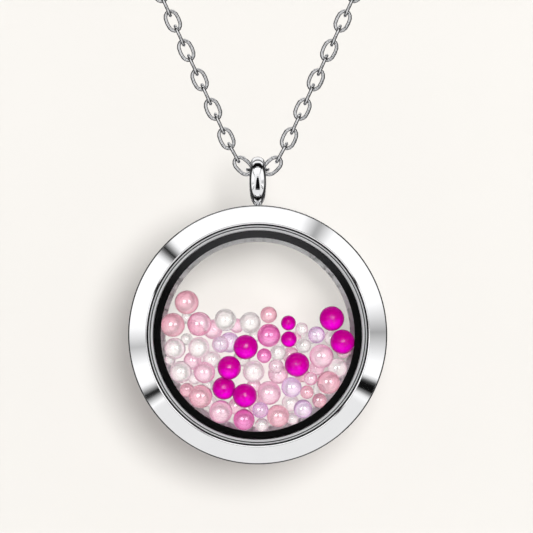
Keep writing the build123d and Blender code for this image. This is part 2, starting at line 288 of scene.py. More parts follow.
class Nodes:
    """A node tree with short ways to add and join nodes."""

    MIX_INPUTS = (0, 6, 7)
    MIX_OUTPUT = 2

    def __init__(self, tree: NodeTree) -> None:
        """Start with an empty tree."""
        self.tree = tree
        tree.nodes.clear()

    def add(self, kind: str, **sockets: object) -> Node:
        """Add a node and set or join its inputs, with _ for a space in an input's name.

        Args:
            kind: The node's type without its ShaderNode start.
            **sockets: Values, or output sockets to join, by input name.

        Returns:
            The new node.
        """
        node = self.tree.nodes.new(f"ShaderNode{kind}")
        for name, value in sockets.items():
            self.put(node.inputs[name.replace("_", " ")], value)
        return node

    def put(self, target: NodeSocket, value: object) -> None:
        """Set an input to a value, or join an output to it.

        Args:
            target: The input.
            value: A number, a vector, a colour or an output.
        """
        if isinstance(value, NodeSocket):
            self.tree.links.new(value, target)
        elif isinstance(value, tuple) and len(value) == 3 and target.type == "RGBA":
            target.default_value = (*value, 1.0)
        else:
            target.default_value = value

    def sum(self, operation: str, *values: object) -> NodeSocket:
        """Do one sum on values or sockets.

        Args:
            operation: The Math node's operation.
            *values: Its inputs in order.

        Returns:
            The result.
        """
        node = self.tree.nodes.new("ShaderNodeMath")
        node.operation = operation
        for target, value in zip(node.inputs, values):
            self.put(target, value)
        return node.outputs["Value"]

    def ranged(self, value: NodeSocket, low: float, high: float) -> NodeSocket:
        """Map a value of 0 to 1 onto low to high."""
        return self.add("MapRange", Value=value, To_Min=low, To_Max=high).outputs["Result"]

    def noise(self, place: NodeSocket, **sockets: float) -> NodeSocket:
        """Noise of 0 to 1 at a place, with the noise node's own inputs."""
        return self.add("TexNoise", Vector=place, **sockets).outputs["Fac"]

    def mixed(self, share: NodeSocket, first: object, second: object) -> NodeSocket:
        """Mix two colours.

        Args:
            share: The second colour's share, 0 to 1.
            first: A colour or an output.
            second: A colour or an output.

        Returns:
            The mixed colour.
        """
        node = self.add("Mix")
        node.data_type = "RGBA"
        for index, value in zip(self.MIX_INPUTS, (share, first, second)):
            self.put(node.inputs[index], value)
        return node.outputs[self.MIX_OUTPUT]

    def blended(self, share: NodeSocket, first: Node, second: Node) -> NodeSocket:
        """Mix two shaders.

        Args:
            share: The second shader's share, 0 to 1.
            first: A shader's node.
            second: A shader's node.

        Returns:
            The mixed shader.
        """
        node = self.add("MixShader", Fac=share)
        self.put(node.inputs[1], first.outputs[0])
        self.put(node.inputs[2], second.outputs[0])
        return node.outputs["Shader"]

    def ramp(self, value: NodeSocket, stops: Sequence[tuple[float, Colour]]) -> NodeSocket:
        """Look a value up in a colour ramp.

        Args:
            value: The value, 0 to 1.
            stops: Positions with their colours, in order.

        Returns:
            The ramp's colour.
        """
        node = self.add("ValToRGB", Fac=value)
        elements = node.color_ramp.elements
        while len(elements) < len(stops):
            elements.new(0.5)
        for element, (position, colour) in zip(elements, stops):
            element.position = position
            element.color = (*colour, 1.0)
        return node.outputs["Color"]

    def grey_ramp(self, value: NodeSocket, stops: Sequence[Pair]) -> NodeSocket:
        """Look a value up in a ramp of greys, each given by one level."""
        return self.ramp(value, [(position, (level,) * 3) for position, level in stops])


class Shading(Nodes):
    """A material's node tree."""

    def __init__(self, name: str) -> None:
        """Start a material with its output alone.

        Args:
            name: The finish's plain name.
        """
        self.material = bpy.data.materials.new(name)
        self.material.use_nodes = True
        super().__init__(self.material.node_tree)
        self.output = self.add("OutputMaterial")

    def place(self, centre: Vector = ORIGIN, scale: float = 1.0 / MM) -> NodeSocket:
        """Object coordinates, moved and scaled by a Mapping node.

        Args:
            centre: The point in metres that becomes the pattern's origin.
            scale: The pattern's units in a metre.

        Returns:
            The mapped coordinates.
        """
        mapping = self.add("Mapping", Vector=self.add("TexCoord").outputs["Object"])
        mapping.inputs["Location"].default_value = -centre * scale
        mapping.inputs["Scale"].default_value = (scale, scale, scale)
        return mapping.outputs["Vector"]

    def radius(self, place: NodeSocket) -> NodeSocket:
        """How far a place is from the axis along Y through the pattern's origin.

        Args:
            place: The mapped coordinates.

        Returns:
            The distance, in the pattern's units.
        """
        split = self.add("SeparateXYZ", Vector=place).outputs
        across = self.sum("MULTIPLY", split["X"], split["X"])
        return self.sum("SQRT", self.sum("MULTIPLY_ADD", split["Z"], split["Z"], across))

    def bump(self, height: NodeSocket, strength: float, depth: float, **under: NodeSocket) -> NodeSocket:
        """The normal for a relief by its depth in millimetres, over the Normal given."""
        node = self.add("Bump", Height=height, Strength=strength, Distance=depth * MM, **under)
        return node.outputs["Normal"]

    def finish(self, shader: NodeSocket) -> Material:
        """Join the last shader to the output and return the material."""
        self.put(self.output.inputs["Surface"], shader)
        return self.material

    def principled(self, **sockets: object) -> Material:
        """Finish with one Principled shader of these inputs, and return the material."""
        return self.finish(self.add("BsdfPrincipled", **sockets).outputs["BSDF"])


@dataclass(frozen=True)
class SteelFinish:
    """Polished or satin stainless steel, with turning marks and painted shade in grooves and gaps round the
    locket's axis.
    """

    name: str
    colour: Colour = (0.88, 0.88, 0.885)
    shade: Colour = (0.83, 0.83, 0.84)
    roughness: Pair = (0.02, 0.045)
    scratch_depth: float = 0.0006
    rings_per_mm: float = 0.0
    ring_depth: float = 0.0
    satin_radius: float = 0.0
    satin_roughness: float = 0.55
    satin_shade: Colour = (0.96, 0.97, 0.97)
    joints: tuple[Pair, ...] = ()
    painted_recess_shade: Colour = (0.03, 0.03, 0.032)

    def made(self, centre: Vector) -> Material:
        """Build the material.

        Args:
            centre: The point that turning marks go round, in metres.

        Returns:
            The material.
        """
        work = Shading(self.name)
        place = work.place(centre)
        haze = work.noise(place, Scale=0.35, Detail=4.0)
        wear = work.noise(place, Scale=5.0, Detail=6.0, Roughness=0.7)
        base = work.mixed(haze, self.colour, self.shade)
        rough = work.ranged(wear, *self.roughness)
        normal = work.bump(wear, strength=0.25, depth=self.scratch_depth)
        if self.satin_radius > 0:
            inside = work.sum("LESS_THAN", work.radius(place), self.satin_radius)
            rough = work.sum("MULTIPLY_ADD", inside, self.satin_roughness, rough)
            base = work.mixed(inside, base, self.satin_shade)
        # Painted shade: each ring given in joints, a groove or a gap between parts, is darkened in the
        # colour.
        for inner, outer in self.joints:
            within = work.sum("COMPARE", work.radius(place), (inner + outer) / 2, (outer - inner) / 2)
            base = work.mixed(within, base, self.painted_recess_shade)
        if self.rings_per_mm > 0:
            rings = work.add("TexWave", Vector=place, Scale=self.rings_per_mm, Distortion=0.3)
            rings.wave_type = "RINGS"
            rings.rings_direction = "Y"
            normal = work.bump(rings.outputs["Fac"], strength=0.6, depth=self.ring_depth, Normal=normal)
        return work.principled(Base_Color=base, Metallic=1.0, Roughness=rough, Normal=normal)


@dataclass(frozen=True)
class PaneFinish:
    """Thin clear glass: it lets light through and mirrors a little."""

    name: str = "clear_pane"
    tint: Colour = (0.990, 0.989, 0.988)
    roughness: Pair = (0.01, 0.02)
    mirrored: float = 0.35

    def made(self) -> Material:
        """Build the material.

        Returns:
            The material.
        """
        work = Shading(self.name)
        smear = work.noise(work.place(), Scale=0.2, Detail=3.0)
        clear = work.add("BsdfTransparent", Color=self.tint)
        rough = work.ranged(smear, *self.roughness)
        gloss = work.add("BsdfGlossy", Color=(1.0, 1.0, 1.0), Roughness=rough)
        edge = work.add("LayerWeight", Blend=0.12).outputs["Fresnel"]
        front = work.sum("SUBTRACT", 1.0, work.add("NewGeometry").outputs["Backfacing"])
        share = work.sum("MULTIPLY", front, work.ranged(edge, 0.0, self.mirrored))
        return work.finish(work.blended(share, clear, gloss))


@dataclass(frozen=True)
class SealFinish:
    """Black rubber with a faint moulded grain, and a painted sheen that greys it towards the top, where it
    would mirror the light from above.
    """

    name: str = "black_rubber"
    colour: Colour = (0.0008, 0.0008, 0.0009)
    shade: Colour = (0.002, 0.002, 0.002)
    roughness: Pair = (0.36, 0.5)
    # Painted sheen: the grey that the top is mixed towards, and the heights in millimetres where it starts
    # and where it is full.
    painted_top_sheen: Colour = (0.020, 0.020, 0.021)
    painted_sheen_from: float = 5.0
    painted_sheen_to: float = 12.0

    def made(self, centre: Vector) -> Material:
        """Build the material.

        Args:
            centre: The ring's middle, in metres.

        Returns:
            The material.
        """
        work = Shading(self.name)
        place = work.place(centre)
        grain = work.noise(place, Scale=9.0, Detail=3.0)
        # Painted sheen: the black greys towards the top, where the rubber would mirror the light from above.
        height = work.add("SeparateXYZ", Vector=place).outputs["Z"]
        lit = work.add("MapRange", Value=height, From_Min=self.painted_sheen_from, From_Max=self.painted_sheen_to)
        black = work.mixed(grain, self.colour, self.shade)
        return work.principled(
            Base_Color=work.mixed(lit.outputs["Result"], black, self.painted_top_sheen),
            Roughness=work.ranged(grain, *self.roughness),
            Specular_IOR_Level=0.06,
            Normal=work.bump(grain, strength=0.3, depth=0.004),
        )


@dataclass(frozen=True)
class BeadFinish:
    """Pearly glass beads of one colour, with painted light and shade that lighten them from top to bottom
    and a painted rim shade that deepens their edge.
    """

    name: str
    # Painted light and shade: top, middle and bottom colours, darker above and lighter below as if light
    # gathered in the bead's lower half; rim is the painted darker edge colour.
    top: Colour
    middle: Colour
    bottom: Colour
    rim: Colour
    transmission: float = 0.85
    milk: float = 0.2
    streak: float = 0.2
    index: float = 1.18
    pearl: float = 1.75
    vivid: bool = False
    bands: Triple = (0.05, 0.5, 0.95)
    painted_rim_shade: tuple[Pair, Pair] = ((0.2, 0.0), (0.62, 1.0))
    roughness: Pair = (0.02, 0.05)

    def made(self) -> Material:
        """Build the material.

        Returns:
            The material.
        """
        work = Shading(self.name)
        place = work.place()
        swirl = work.noise(place, Scale=0.9, Detail=2.0, Distortion=1.2)
        height = work.add("Attribute")
        height.attribute_name = "bead_height"
        level = work.sum("ADD", height.outputs["Fac"], work.ranged(swirl, -self.streak, self.streak))
        # Painted light and shade by the bead's height, with random streaks from the swirl.
        body = work.ramp(level, list(zip(self.bands, (self.bottom, self.middle, self.top))))
        # Painted rim shade: the colour deepens towards the edge as the surface turns away from the camera.
        painted_rim_shade = work.grey_ramp(work.add("LayerWeight", Blend=0.5).outputs["Facing"], self.painted_rim_shade)
        fine = work.noise(place, Scale=6.0, Detail=2.0)
        return work.principled(
            Base_Color=work.mixed(painted_rim_shade, body, self.rim),
            Roughness=work.ranged(fine, *self.roughness),
            IOR=self.index,
            Transmission_Weight=self.transmission,
            Subsurface_Weight=self.milk,
            Subsurface_Radius=Vector((1.0, 0.6, 0.8)),
            Subsurface_Scale=0.6 * MM,
            Coat_Weight=1.0,
            Coat_Roughness=0.03,
            Coat_IOR=self.pearl,
        )


@dataclass(frozen=True)
class PaperFinish:
    """Plain pale paper for the floor and the backdrop, seen from its lit side alone."""

    name: str
    colour: Colour
    shade: float = 0.985
    grain_scale: float = 40.0

    def made(self) -> Material:
        """Build the material.

        Returns:
            The material.
        """
        work = Shading(self.name)
        grain = work.noise(work.place(scale=self.grain_scale), Scale=1.0, Detail=2.0)
        low = tuple(self.shade * part for part in self.colour)
        paper = work.add("BsdfDiffuse", Color=work.mixed(grain, self.colour, low))
        behind = work.add("NewGeometry").outputs["Backfacing"]
        return work.finish(work.blended(behind, paper, work.add("BsdfTransparent")))


class BeadColour(Enum):
    """The beads' colours by the word in their nodes' names, each with its finish."""

    # Each finish: top, middle and bottom colours with painted light and shade, lighter below in every one,
    # then the darker painted rim colour.
    ROSE = BeadFinish(
        "rose_bead", (0.79, 0.43, 0.53), (0.86, 0.54, 0.63), (0.93, 0.68, 0.74), (0.79, 0.37, 0.47)
    )
    PINK = BeadFinish(
        "pink_bead", (0.72, 0.12, 0.42), (0.82, 0.26, 0.58), (0.95, 0.50, 0.80), (0.72, 0.09, 0.40)
    )
    MAGENTA = BeadFinish(
        "magenta_bead", (0.44, 0.0, 0.20), (0.47, 0.0, 0.26), (0.96, 0.0, 0.82), (0.54, 0.0, 0.32),
        transmission=0.3, index=1.1, pearl=1.2, vivid=True,
    )
    BLUSH = BeadFinish(
        "blush_bead", (0.84, 0.53, 0.66), (0.90, 0.65, 0.76), (0.95, 0.78, 0.86), (0.82, 0.36, 0.56)
    )
    PEARL = BeadFinish(
        "pearl_bead", (0.82, 0.76, 0.79), (0.90, 0.86, 0.87), (0.96, 0.93, 0.94), (0.84, 0.60, 0.71)
    )
    CLEAR = BeadFinish(
        "clear_bead", (0.82, 0.81, 0.82), (0.89, 0.88, 0.88), (0.95, 0.95, 0.94), (0.74, 0.69, 0.71),
        transmission=0.9, milk=0.1,
    )
    LILAC = BeadFinish(
        "lilac_bead", (0.78, 0.61, 0.83), (0.86, 0.74, 0.89), (0.92, 0.84, 0.93), (0.66, 0.36, 0.72)
    )

    @classmethod
    def of(cls, node: str) -> "BeadColour":
        """The colour that a bead node's name ends in."""
        return cls[node.rsplit("_", 1)[1].upper()]


# ---- the locket


@dataclass
class Case:
    """The locket's steel: the rear half, the screwed front half and the glass ring."""

    centre: Vector
    rim_radius: float = 15.0
    front_y: float = -3.8
    back_y: float = 3.8
    parting_y: float = -1.9
    lip_y: float = 3.2
    cavity_radius: float = 11.45
    back_opening_radius: float = 10.8
    spigot_radius: float = 13.9
    spigot_wall: float = 0.65
    spigot_height: float = 1.15
    fit: float = 0.05
    bezel_inner_radius: float = 12.83
    bezel_slope: float = 18.0
    bezel_chamfer: float = 0.15
    bezel_chamfer_drop: float = 0.05
    edge_chamfer: float = 0.14
    skirt_height: float = 0.8
    ring_radius: float = 12.66
    ring_bore: float = 12.14
    ring_front_y: float = -3.5
    ring_back_y: float = -2.4
    ring_step: float = 0.3
    ring_fit: float = 0.03
    groove_inner_radius: float = 12.39
    groove_outer_radius: float = 12.51
    groove_depth: float = 0.12
    easing: float = 0.03
    ring_easing: float = 0.02
    segments: int = 256

    def front_half(self) -> Object:
        """The sloping bezel with its outer skirt and the inner skirt round the glass.

        Returns:
            The finished piece.
        """
        opening, rim = self.bezel_inner_radius, self.rim_radius
        crest = opening + self.bezel_chamfer
        edge = rim - self.edge_chamfer
        edge_y = self.front_y + (edge - crest) * math.tan(math.radians(self.bezel_slope))
        skirt_y = self.parting_y - self.fit
        groove_y = skirt_y - self.spigot_height
        inner_y = groove_y + self.skirt_height
        groove = self.spigot_radius + self.fit
        skirt = self.spigot_radius - self.spigot_wall - self.fit
        corners = [
            (opening, inner_y), (opening, self.front_y + self.bezel_chamfer_drop), (crest, self.front_y),
            (edge, edge_y), (rim, edge_y + self.edge_chamfer), (rim, skirt_y),
            (groove, skirt_y), (groove, groove_y), (skirt, groove_y), (skirt, inner_y),
        ]
        return eased(turned("screwed_bezel", corners, self.centre, self.segments), self.easing)

    def glass_ring(self) -> Object:
        """The stepped ring round the front glass, with its one fine groove.

        Returns:
            The finished piece.
        """
        near, far = self.ring_front_y, self.ring_back_y
        inner, outer, groove_y = self.groove_inner_radius, self.groove_outer_radius, near + self.groove_depth
        seat, step_y = self.bezel_inner_radius - self.ring_fit, near + self.ring_step
        corners = [
            (self.ring_bore, far), (self.ring_bore, near),
            (inner, near), (inner, groove_y), (outer, groove_y), (outer, near),
            (self.ring_radius, near), (self.ring_radius, step_y), (seat, step_y), (seat, far),
        ]
        return eased(turned("grooved_glass_ring", corners, self.centre, self.segments), self.ring_easing)

    def rear_half(self) -> Object:
        """The cavity's wall with the lip behind the back glass and the spigot in front.

        Returns:
            The finished piece.
        """
        opening, cavity, rim = self.back_opening_radius, self.cavity_radius, self.rim_radius
        spigot, bore = self.spigot_radius, self.spigot_radius - self.spigot_wall
        spigot_y = self.parting_y - self.spigot_height
        corners = [
            (opening, self.back_y), (opening, self.lip_y), (cavity, self.lip_y), (cavity, self.parting_y),
            (bore, self.parting_y), (bore, spigot_y), (spigot, spigot_y), (spigot, self.parting_y),
            (rim, self.parting_y), (rim, self.back_y - self.edge_chamfer),
            (rim - self.edge_chamfer, self.back_y),
        ]
        return eased(turned("rear_case", corners, self.centre, self.segments), self.easing)


@dataclass
class Bail:
    """The soldered bail: a domed band swept round an oval, widest in front and narrow at its foot."""

    place: Vector
    hole_radius: float = 1.02
    drop: float = 2.78
    middle_depth: float = 1.34
    dome: float = 0.38
    lining: float = 0.12
    front_width: float = 0.97
    rear_width: float = 0.985
    top_width: float = 0.62
    foot_width: float = 0.26
    rear_fullness: float = 0.35
    front_fullness: float = 0.5
    sweep_steps: int = 96
    section_vertices: int = 32

    @property
    def centre(self) -> Vector:
        """The oval's middle."""
        return self.place + Vector((0, 0, -self.drop / 2 * MM))

    @property
    def middle_height(self) -> float:
        """Half the height of the band's middle line, in millimetres."""
        return self.drop / 2 + self.hole_radius + self.lining

    def point_at(self, turn: float) -> Vector:
        """The band's middle line at a turn from the front, over the top, in radians."""
        depth = self.middle_depth * math.cos(turn)
        return self.centre + Vector((0, -depth, self.middle_height * math.sin(turn))) * MM

    def heading_at(self, turn: float) -> float:
        """The band's heading at a turn, in radians from straight up towards the back."""
        return math.atan2(self.middle_depth * math.sin(turn), self.middle_height * math.cos(turn))

    def half_width_at(self, turn: float) -> float:
        """Half the band's width at a turn.

        Args:
            turn: The turn from the front, over the top, in radians.

        Returns:
            Half the width in millimetres.
        """
        front = math.cos(turn) > 0
        side = self.front_width if front else self.rear_width
        end = self.top_width if math.sin(turn) > 0 else self.foot_width
        fullness = self.front_fullness if front else self.rear_fullness
        return end + (side - end) * abs(math.cos(turn)) ** (2 * fullness)

    def band(self) -> Object:
        """Sweep the domed section round the oval: extrude, turn and resize it step by step.

        Returns:
            The finished band.
        """
        start, width = self.point_at(0.0), self.half_width_at(0.0)
        piece = circle("bail_band", self.section_vertices, width, start)
        for outward, depth in ((-1, self.dome), (1, self.lining)):
            pick(piece, Kind.VERT, lambda vertex, side=outward: side * (vertex.co.y - start.y) > MIDDLE_BAND)
            bpy.ops.transform.resize(value=(1, depth / width, 1), center_override=start)
        bpy.ops.mesh.select_all(action="SELECT")
        turns = [2 * math.pi * step / self.sweep_steps for step in range(self.sweep_steps + 1)]
        for turn, next_turn in zip(turns, turns[1:]):
            place = self.point_at(next_turn)
            bend = self.heading_at(next_turn) - self.heading_at(turn)
            share = self.half_width_at(next_turn) / self.half_width_at(turn)
            bpy.ops.mesh.extrude_edges_move(TRANSFORM_OT_translate={"value": place - self.point_at(turn)})
            bpy.ops.transform.rotate(
                value=math.remainder(bend, 2 * math.pi), orient_axis="X", center_override=place
            )
            bpy.ops.transform.resize(value=(share, 1, 1), center_override=place)
        return closed(piece, Smooth.SWEPT)


@dataclass
class Window:
    """What the locket's window is made of: the black seal and two panes, by name, radius and both faces."""

    centre: Vector
    front: PaneSize = ("front_pane", 12.1, -3.3, -2.5)
    back: PaneSize = ("back_pane", 11.41, 2.4, 3.2)
    ground_edge: float = 0.6
    pane_easing: float = 0.05
    seal_outer: float = 12.09
    seal_bore: float = 11.24
    seal_near_y: float = -2.45
    seal_far_y: float = -1.95
    seal_easing: float = 0.08
    segments: int = 192

    def pane(self, name: str, radius: float, near_y: float, far_y: float) -> Object:
        """A round pane with a ground edge.

        Args:
            name: The pane's plain name.
            radius: Its radius in millimetres.
            near_y: Its front face's depth from the locket's middle plane.
            far_y: Its rear face's depth.

        Returns:
            The pane.
        """
        place = self.centre + Vector((0, near_y * MM, 0))
        piece = circle(name, self.segments, radius, place, UPRIGHT, "NGON")
        bpy.ops.mesh.inset(thickness=self.ground_edge * MM)
        bpy.ops.mesh.select_all(action="SELECT")
        bpy.ops.mesh.extrude_region_move(TRANSFORM_OT_translate={"value": (0, (far_y - near_y) * MM, 0)})
        return eased(closed(piece), self.pane_easing)

    def seal(self) -> Object:
        """The black ring between the front pane and the rear half, its edges rounded.

        Returns:
            The ring.
        """
        bore, outer, near, far = self.seal_bore, self.seal_outer, self.seal_near_y, self.seal_far_y
        corners = [(bore, near), (outer, near), (outer, far), (bore, far)]
        piece = turned("black_seal_ring", corners, self.centre, self.segments)
        return eased(piece, self.seal_easing, segments=3)


# ---- the beads


@dataclass
class Beads:
    """The loose glass beads, each a little out of round, at its CAD bead's own place."""

    seed: int = 11
    uneven: float = 0.012
    most_turn: float = 6.28
    turn_axis: Vector = Vector((0.3, 0.5, 0.8)).normalized()
    blank_size: float = 1.2
    cuts: int = 5
    chooser: random.Random = field(init=False)

    def __post_init__(self) -> None:
        """Start the seeded chooser."""
        self.chooser = random.Random(self.seed)

    def blank(self) -> Object:
        """One round blank of radius 1 mm: a cube, subdivided, drawn to a sphere and smoothed.

        Returns:
            The blank.
        """
        clear_selection()
        bpy.ops.mesh.primitive_cube_add(size=self.blank_size * MM)
        piece = started("bead_blank")
        bpy.ops.mesh.subdivide(number_cuts=self.cuts)
        bpy.ops.transform.tosphere(value=1.0)
        bpy.ops.object.mode_set(mode="OBJECT")
        smoothing = piece.modifiers.new("rounded", "SUBSURF")
        smoothing.levels = smoothing.render_levels = 1
        bpy.ops.object.modifier_apply(modifier=smoothing.name)
        bpy.ops.object.mode_set(mode="EDIT")
        bpy.ops.mesh.select_all(action="SELECT")
        bpy.ops.transform.tosphere(value=1.0)
        closed(piece, Smooth.ROUND)
        reach = max(vertex.co.length for vertex in piece.data.vertices)
        piece.data.transform(Matrix.Scale(MM / reach, 4))
        bpy.ops.object.shade_smooth()
        return piece

    def bead(self, blank: Object, name: str, centre: Vector, radius: float) -> Object:
        """A copy of the blank at its place, turned and pressed a little flat at random.

        Args:
            blank: The round blank.
            name: The bead's name.
            centre: Its middle in metres.
            radius: Its radius in metres.

        Returns:
            The bead, with its height from bottom to top as an attribute.
        """
        turn = Matrix.Rotation(self.chooser.uniform(0, self.most_turn), 4, self.turn_axis)
        squeeze = Matrix.Diagonal((1.0, 1.0 - self.chooser.uniform(0, 2 * self.uneven), 1.0, 1.0))
        place = Matrix.Translation(centre) @ turn @ squeeze @ turn.inverted() @ Matrix.Scale(radius / MM, 4)
        piece = placed_copy(blank, name, place)
        heights = piece.data.attributes.new("bead_height", "FLOAT", "POINT")
        for vertex, item in zip(piece.data.vertices, heights.data):
            item.value = min(max(0.5 + (vertex.co.z - centre.z) / radius / 2, 0.0), 1.0)
        return piece

    @staticmethod
    def balls(node: Object) -> Iterator[tuple[Vector, float]]:
        """The middle and radius of each ball in a CAD node, by splitting a merged copy of its mesh.

        Args:
            node: The CAD node's object.

        Yields:
            Each ball's middle and radius in metres.
        """
        taken([placed_copy(node, "bead_places", Matrix.Identity(4))])
        bpy.ops.object.mode_set(mode="EDIT")
        bpy.ops.mesh.select_all(action="SELECT")
        bpy.ops.mesh.remove_doubles(threshold=MERGE_DISTANCE)
        bpy.ops.mesh.separate(type="LOOSE")
        bpy.ops.object.mode_set(mode="OBJECT")
        for part in list(bpy.context.selected_objects):
            corners = [Vector(corner) for corner in part.bound_box]
            low = Vector(map(min, *corners))
            high = Vector(map(max, *corners))
            yield (low + high) / 2, (high.x - low.x) / 2
            bpy.data.objects.remove(part)

    def strewn(self, nodes: dict[str, Object]) -> dict[str, Object]:
        """Make the piece for each bead node.

        Args:
            nodes: The CAD nodes by name.

        Returns:
            The finished pieces by the node that each stands for.
        """
        blank = self.blank()
        pieces = {}
        for node in sorted(name for name in nodes if name.startswith("bead_")):
            name = node.replace("bead_", "glass_bead_")
            made = [
                self.bead(blank, f"{name}_{number}", centre, radius)
                for number, (centre, radius) in enumerate(list(self.balls(nodes[node])))
            ]
            pieces[node] = joined(made, name)
        bpy.data.objects.remove(blank)
        return pieces


# ---- the chain


@dataclass
class Chain:
    """The cable chain: real links down both legs and round the back to the clasp."""

    bail_z: float
    wire: float = 0.42
    drawn_wire: float = 0.45
    drawn_width: float = 1.90
    pitch: float = 1.88
    gap: float = 0.14
    headings: tuple[float, ...] = (43.0, 61.0, 65.5)
    links_a_side: int = 69
    neck_radius: float = 60.85
    loop_centre_z: float = -59.43
    eye_link_x: float = 7.32
    bluntness: float = 1.35
    curve_steps: int = 16
    wire_steps: int = 1

    @property
    def length(self) -> float:
        """A link's length over its ends."""
        return self.pitch + self.gap + 2 * self.wire

    @property
    def edge_on_step(self) -> float:
        """The step along the route that an edge-on link takes."""
        return self.length - self.wire

    @property
    def face_on_step(self) -> float:
        """The shorter step that a face-on link takes, since both wires cross inside it."""
        return 2 * self.pitch - self.edge_on_step

    def link(self) -> Object:
        """One blunt oval link, long along X and flat in XY: a ring drawn out, then given its wire.

        Returns:
            The link.
        """
        short = (self.drawn_width - self.drawn_wire) / 2
        long = (self.length - self.drawn_wire) / 2
        piece = circle("chain_link", self.curve_steps, short)
        bpy.ops.transform.resize(value=(self.bluntness, 1, 1), center_override=ORIGIN)
        drawn_out(piece, long - self.bluntness * short)
        bpy.ops.object.mode_set(mode="OBJECT")
        bpy.ops.object.convert(target="CURVE")
        piece.data.bevel_depth = self.drawn_wire / 2 * MM
        piece.data.bevel_resolution = self.wire_steps
        bpy.ops.object.convert(target="MESH")
        bpy.ops.object.mode_set(mode="EDIT")
        return closed(piece, Smooth.ROUND)

    def placing(self, x: float, z: float, heading: float, edge_on: bool) -> Matrix:
        """Where a link goes.

        Args:
            x: Its middle across, in millimetres.
            z: Its middle's height, in millimetres.
            heading: Its long axis in degrees above level.
            edge_on: Whether it is seen edge on from the front.

        Returns:
            The placing matrix, in metres.
        """
        turn = math.radians(heading)
        along = Vector((math.cos(turn), 0, math.sin(turn)))
        normal = Vector((-math.sin(turn), 0, math.cos(turn))) if edge_on else Vector((0, -1, 0))
        place = Matrix((along, normal.cross(along), normal)).transposed().to_4x4()
        place.translation = Vector((x, 0, z)) * MM
        return place

    def front_places(self) -> Iterator[Matrix]:
        """Place the link that carries the bail and both legs' links.

        Yields:
            Each link's placing matrix.
        """
        yield self.placing(0.0, self.bail_z, 0.0, True)
        x = self.edge_on_step / 2
        z = 0.0
        for number in range(self.links_a_side):
            heading = self.headings[min(number, len(self.headings) - 1)]
            edge_on = number % 2 == 1
            step = self.edge_on_step if edge_on else self.face_on_step
            step_x = step * math.cos(math.radians(heading))
            step_z = step * math.sin(math.radians(heading))
            middle_z = self.bail_z + z + step_z / 2
            for side in (1, -1):
                yield self.placing(side * (x + step_x / 2), middle_z, side * heading, edge_on)
            x += step_x
            z += step_z

    def back_places(self) -> Iterator[Matrix]:
        """Place the links round the back, from each leg to the clasp's eye.

        Yields:
            Each link's placing matrix.
        """
        start = math.pi - math.radians(self.headings[-1])
        end = math.asin(self.eye_link_x / self.neck_radius)
        first = (self.edge_on_step + self.face_on_step / 2) / self.neck_radius
        span = start - first - end
        pairs = math.ceil(span / (2 * self.pitch / self.neck_radius))
        pair = span / pairs
        half = self.edge_on_step / 2 / self.neck_radius
        for number in range(pairs + 1):
            for lead, edge_on in ((half, True), (first, False)):
                angle = start - lead - number * pair
                x = self.neck_radius * math.sin(angle)
                z = self.loop_centre_z + self.neck_radius * math.cos(angle)
                for side in (1, -1):
                    yield self.placing(side * x, z, side * (180.0 - math.degrees(angle)), edge_on)

    def laid(self) -> tuple[Object, Object]:
        """Lay a copy of the link at every place.

        Returns:
            The links of both legs as one piece, and those round the back as another.
        """
        link = self.link()
        legs = [placed_copy(link, "leg_link", place) for place in self.front_places()]
        back = [placed_copy(link, "back_link", place) for place in self.back_places()]
        bpy.data.objects.remove(link)
        LOG.info("chain: %d links in the legs, %d round the back", len(legs), len(back))
        return joined(legs, "leg_chain"), joined(back, "back_chain")


@dataclass
class Clasp:
    """The plain closed clasp at the nape."""

    centre: Vector = Vector((0, 0, 1.0)) * MM
    body_length: float = 10.0
    width: float = 4.4
    thickness: float = 2.0
    slot_length: float = 5.6
    slot_width: float = 1.6
    easing: float = 0.35
    easing_angle: float = 50.0
    eye_x: float = 5.6
    eye_diameter: float = 2.8
    eye_bore: float = 1.5
    eye_thickness: float = 0.86
    eye_segments: int = 32
    eye_section_segments: int = 12
    segments: int = 64

    def body(self) -> Object:
        """The slotted oval: a disc drawn out, inset, and bridged through its slot.

        Returns:
            The finished oval.
        """
        clear_selection()
        radius, depth = self.width / 2 * MM, self.thickness * MM
        bpy.ops.mesh.primitive_cylinder_add(
            vertices=self.segments, radius=radius, depth=depth, location=self.centre
        )
        piece = started("clasp_oval")
        drawn_out(piece, (self.body_length - self.width) / 2)
        pick(piece, Kind.FACE, lambda face: abs(face.normal.z) > NEARLY_LEVEL)
        bpy.ops.mesh.inset(thickness=(self.width - self.slot_width) / 2 * MM)
        share = self.slot_length / (self.body_length - self.width + self.slot_width)
        bpy.ops.transform.resize(value=(share, 1, 1), center_override=self.centre)
        bpy.ops.mesh.delete(type="ONLY_FACE")
        pick(piece, Kind.EDGE, lambda edge: edge.is_boundary)
        bpy.ops.mesh.bridge_edge_loops()
        return eased(closed(piece), self.easing, segments=4, angle=self.easing_angle)

    def eye(self, side: int) -> Object:
        """The rounded eye at one end.

        Args:
            side: 1 on the right and -1 on the left.

        Returns:
            The finished eye.
        """
        clear_selection()
        outer, inner = self.eye_diameter / 2, self.eye_bore / 2
        minor = (outer - inner) / 2
        centre = self.centre + Vector((side * self.eye_x, 0, 0)) * MM
        bpy.ops.mesh.primitive_torus_add(
            major_radius=(outer + inner) / 2 * MM,
            minor_radius=minor * MM,
            major_segments=self.eye_segments,
            minor_segments=self.eye_section_segments,
            location=centre,
        )
        piece = started("clasp_eye")
        bpy.ops.transform.resize(value=(1, 1, self.eye_thickness / 2 / minor), center_override=centre)
        return closed(piece, Smooth.SWEPT)

    def made(self) -> Object:
        """The whole clasp as one piece."""
        return joined([self.body(), self.eye(1), self.eye(-1)], "nape_clasp")


# ---- the studio


